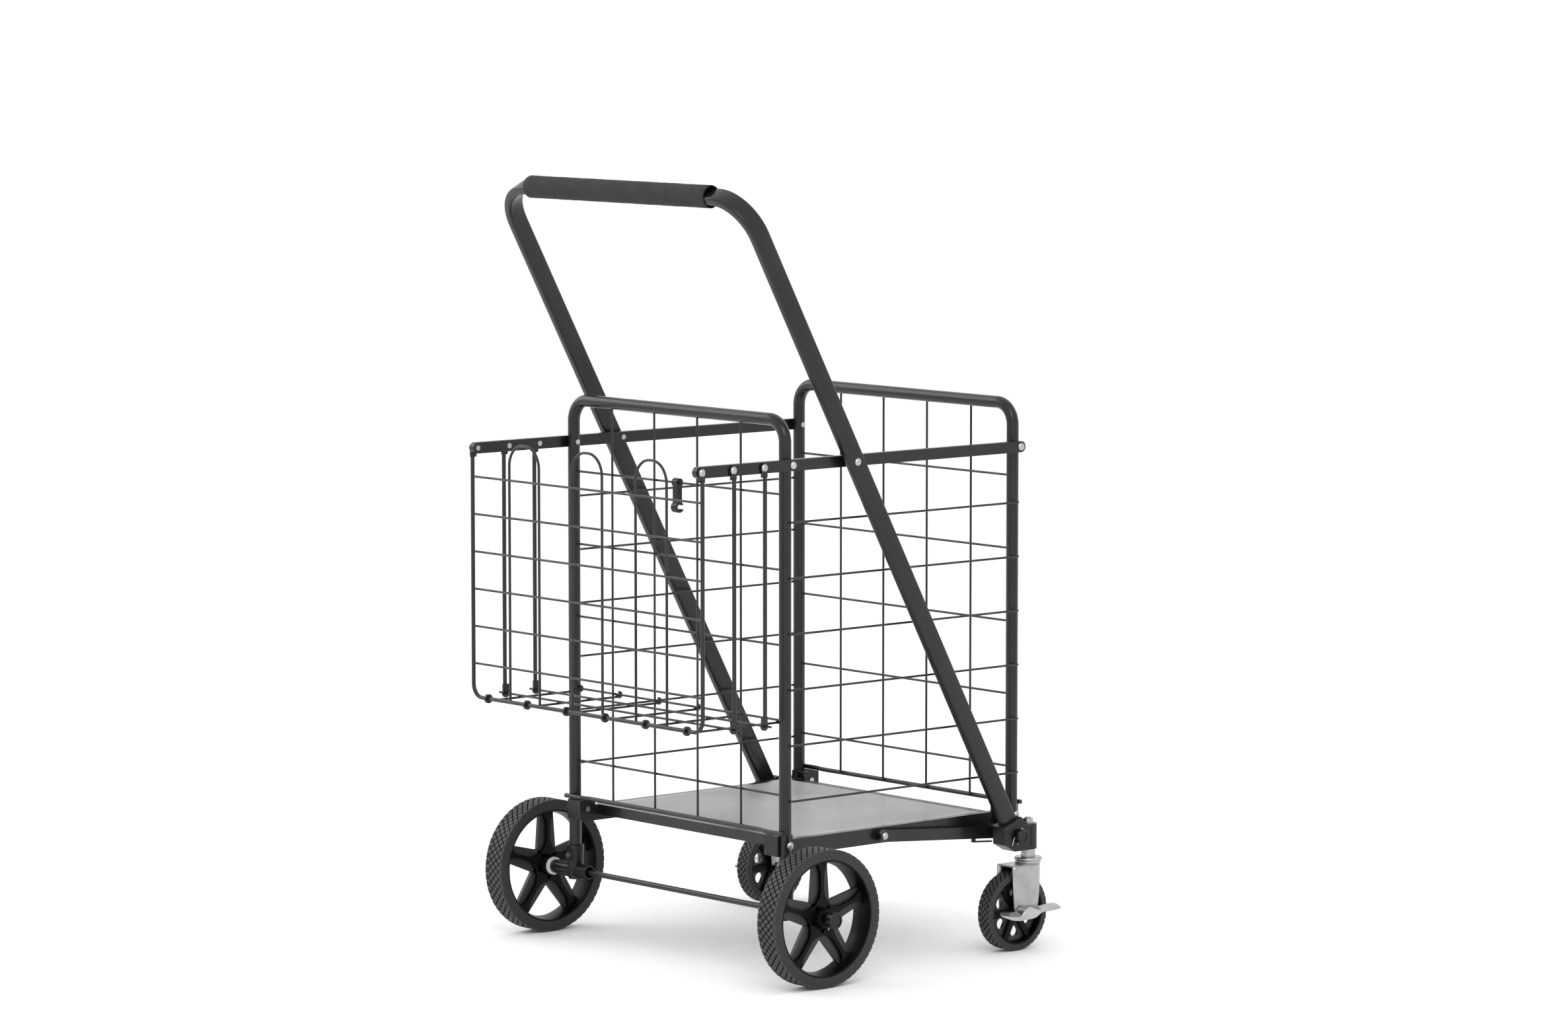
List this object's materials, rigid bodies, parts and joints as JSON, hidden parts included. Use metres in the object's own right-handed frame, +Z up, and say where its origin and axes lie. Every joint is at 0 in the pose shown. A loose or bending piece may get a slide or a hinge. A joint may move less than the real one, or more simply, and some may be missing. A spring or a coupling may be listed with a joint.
{
  "type": "shopping cart",
  "caption": "Folding wire shopping cart with a deep main basket, a small rear basket, a padded push handle, large spoked rear wheels and swivel casters in front.",
  "frame": {"origin": "on the floor, under the centre of the standing cart's bounding box", "axes": "+X to the user's right, +Y forwards towards the casters, +Z up"},
  "size_m": [0.66, 0.6288, 1.0764],
  "materials": {
    "black_paint": "semi-gloss powder coat",
    "black_plastic": "moulded",
    "foam": "matt foam",
    "tyre_rubber": "matt",
    "zinc_steel": "satin zinc plate",
    "deck_plastic": "satin, ribbed"
  },
  "bodies": {
    "rear_frame": {"rear_frame": "black_paint", "rear_grid": "black_paint", "rear_hinge_brackets": "black_plastic", "axle_brackets": "black_plastic", "axle_bracket_screws": "zinc_steel", "rear_axle": "black_paint", "axle_end_caps": "black_plastic", "rear_cotter_pins": "zinc_steel", "rear_wheel_washers": "zinc_steel", "rail_rear_rivets": "zinc_steel", "base_rear_rivets": "zinc_steel"},
    "rails": {"rail_left": "black_paint", "rail_right": "black_paint", "handle_rivets": "zinc_steel", "handle_spacers": "black_plastic", "basket_rivets": "zinc_steel"},
    "front_frame": {"front_frame": "black_paint", "front_grid": "black_paint", "front_hinge_brackets": "black_plastic", "rail_front_rivets": "zinc_steel", "base_front_rivets": "zinc_steel"},
    "base": {"base_frame": "black_paint", "base_deck": "deck_plastic", "link_rivets": "zinc_steel", "link_spacers": "black_plastic"},
    "links": {"link_bars": "black_paint"},
    "handle": {"handle_tube": "black_paint", "handle_grip": "foam", "caster_brackets": "black_plastic", "front_pivot_pins": "black_paint", "front_end_caps": "black_plastic", "front_cotter_pins": "zinc_steel", "caster_stems": "zinc_steel", "caster_nuts": "zinc_steel"},
    "basket_frame": {"basket_frame": "black_paint", "basket_grid": "black_paint"},
    "basket_rods_back": {"basket_rods_back": "black_paint"},
    "basket_rods_mid": {"basket_rods_mid": "black_paint"},
    "basket_floor": {"basket_floor": "black_paint"},
    "lock_clip": {"lock_clip": "black_plastic"},
    "side_wires_1": {"side_wires_1": "black_paint"},
    "side_wires_2": {"side_wires_2": "black_paint"},
    "side_wires_3": {"side_wires_3": "black_paint"},
    "side_wires_4": {"side_wires_4": "black_paint"},
    "side_wires_5": {"side_wires_5": "black_paint"},
    "side_wires_6": {"side_wires_6": "black_paint"},
    "caster_left": {"caster_fork_left": "zinc_steel", "caster_axle_left": "zinc_steel"},
    "caster_wheel_left": {"caster_rim_left": "black_plastic", "caster_tyre_left": "tyre_rubber"},
    "brake_pedal_left": {"brake_pedal_left": "zinc_steel"},
    "rear_wheel_left": {"rear_rim_left": "black_plastic", "rear_tyre_left": "tyre_rubber"},
    "caster_right": {"caster_fork_right": "zinc_steel", "caster_axle_right": "zinc_steel"},
    "caster_wheel_right": {"caster_rim_right": "black_plastic", "caster_tyre_right": "tyre_rubber"},
    "brake_pedal_right": {"brake_pedal_right": "zinc_steel"},
    "rear_wheel_right": {"rear_rim_right": "black_plastic", "rear_tyre_right": "tyre_rubber"}
  },
  "joints": [
    {"name": "fold", "type": "hinge", "parent": "rear_frame", "child": "rails", "pos_m": [0, -0.14363, 0.7], "axis": [1, 0, 0], "range_deg": [0, 75]},
    {"name": "base_fold", "type": "hinge", "parent": "rear_frame", "child": "base", "pos_m": [0, -0.14363, 0.184], "axis": [1, 0, 0], "range_deg": [0, 75]},
    {"name": "side_wires_1_fold", "type": "hinge", "parent": "rear_frame", "child": "side_wires_1", "pos_m": [0, -0.14363, 0.622], "axis": [1, 0, 0], "range_deg": [0, 75]},
    {"name": "side_wires_2_fold", "type": "hinge", "parent": "rear_frame", "child": "side_wires_2", "pos_m": [0, -0.14363, 0.5464], "axis": [1, 0, 0], "range_deg": [0, 75]},
    {"name": "side_wires_3_fold", "type": "hinge", "parent": "rear_frame", "child": "side_wires_3", "pos_m": [0, -0.14363, 0.4708], "axis": [1, 0, 0], "range_deg": [0, 75]},
    {"name": "side_wires_4_fold", "type": "hinge", "parent": "rear_frame", "child": "side_wires_4", "pos_m": [0, -0.14363, 0.3952], "axis": [1, 0, 0], "range_deg": [0, 75]},
    {"name": "side_wires_5_fold", "type": "hinge", "parent": "rear_frame", "child": "side_wires_5", "pos_m": [0, -0.14363, 0.3196], "axis": [1, 0, 0], "range_deg": [0, 75]},
    {"name": "side_wires_6_fold", "type": "hinge", "parent": "rear_frame", "child": "side_wires_6", "pos_m": [0, -0.14363, 0.244], "axis": [1, 0, 0], "range_deg": [0, 75]},
    {"name": "front_frame_fold", "type": "hinge", "parent": "rails", "child": "front_frame", "pos_m": [0, 0.27437, 0.7], "axis": [1, 0, 0], "range_deg": [-75, 0]},
    {"name": "basket_frame_fold", "type": "hinge", "parent": "rails", "child": "basket_frame", "pos_m": [0, -0.30662, 0.7], "axis": [1, 0, 0], "range_deg": [-75, 0]},
    {"name": "basket_rods_back_fold", "type": "hinge", "parent": "rails", "child": "basket_rods_back", "pos_m": [0, -0.25162, 0.7], "axis": [1, 0, 0], "range_deg": [-75, 0]},
    {"name": "basket_rods_mid_fold", "type": "hinge", "parent": "rails", "child": "basket_rods_mid", "pos_m": [0, -0.19762, 0.7], "axis": [1, 0, 0], "range_deg": [-75, 0]},
    {"name": "basket_floor_fold", "type": "hinge", "parent": "rear_frame", "child": "basket_floor", "pos_m": [0, -0.14363, 0.353], "axis": [1, 0, 0], "range_deg": [0, 75]},
    {"name": "handle_fold", "type": "hinge", "parent": "rails", "child": "handle", "pos_m": [0, -0.04662, 0.7], "axis": [1, 0, 0], "range_deg": [-88, 0]},
    {"name": "links_fold", "type": "hinge", "parent": "base", "child": "links", "pos_m": [0, 0.03938, 0.177], "axis": [1, 0, 0], "range_deg": [-119, 0]},
    {"name": "rear_wheel_left_spin", "type": "hinge", "parent": "rear_frame", "child": "rear_wheel_left", "pos_m": [-0.2935, -0.14363, 0.094], "axis": [1, 0, 0], "continuous": true},
    {"name": "caster_left_swivel", "type": "hinge", "parent": "handle", "child": "caster_left", "pos_m": [-0.257, 0.27687, 0.12], "axis": [0, 0, 1], "continuous": true},
    {"name": "caster_wheel_left_spin", "type": "hinge", "parent": "caster_left", "child": "caster_wheel_left", "pos_m": [-0.257, 0.24738, 0.0545], "axis": [1, 0, 0], "continuous": true},
    {"name": "brake_pedal_left_tilt", "type": "hinge", "parent": "caster_left", "child": "brake_pedal_left", "pos_m": [-0.276, 0.24738, 0.0545], "axis": [1, 0, 0], "range_deg": [-10, 0]},
    {"name": "rear_wheel_right_spin", "type": "hinge", "parent": "rear_frame", "child": "rear_wheel_right", "pos_m": [0.2935, -0.14363, 0.094], "axis": [1, 0, 0], "continuous": true},
    {"name": "caster_right_swivel", "type": "hinge", "parent": "handle", "child": "caster_right", "pos_m": [0.257, 0.27687, 0.12], "axis": [0, 0, 1], "continuous": true},
    {"name": "caster_wheel_right_spin", "type": "hinge", "parent": "caster_right", "child": "caster_wheel_right", "pos_m": [0.257, 0.24738, 0.0545], "axis": [1, 0, 0], "continuous": true},
    {"name": "brake_pedal_right_tilt", "type": "hinge", "parent": "caster_right", "child": "brake_pedal_right", "pos_m": [0.276, 0.24738, 0.0545], "axis": [1, 0, 0], "range_deg": [-10, 0]},
    {"name": "lock_clip_swing", "type": "hinge", "parent": "rear_frame", "child": "lock_clip", "pos_m": [0, -0.14363, 0.659], "axis": [1, 0, 0], "range_deg": [-40, 40]}
  ],
  "couplings": [
    {"joint": "base_fold", "follows": "fold", "ratio": 1},
    {"joint": "side_wires_1_fold", "follows": "fold", "ratio": 1},
    {"joint": "side_wires_2_fold", "follows": "fold", "ratio": 1},
    {"joint": "side_wires_3_fold", "follows": "fold", "ratio": 1},
    {"joint": "side_wires_4_fold", "follows": "fold", "ratio": 1},
    {"joint": "side_wires_5_fold", "follows": "fold", "ratio": 1},
    {"joint": "side_wires_6_fold", "follows": "fold", "ratio": 1},
    {"joint": "front_frame_fold", "follows": "fold", "ratio": -1},
    {"joint": "basket_frame_fold", "follows": "fold", "ratio": -1},
    {"joint": "basket_rods_back_fold", "follows": "fold", "ratio": -1},
    {"joint": "basket_rods_mid_fold", "follows": "fold", "ratio": -1},
    {"joint": "basket_floor_fold", "follows": "fold", "ratio": 1},
    {"joint": "handle_fold", "follows": "fold", "ratio": -1.17},
    {"joint": "links_fold", "follows": "fold", "ratio": -1.583}
  ]
}
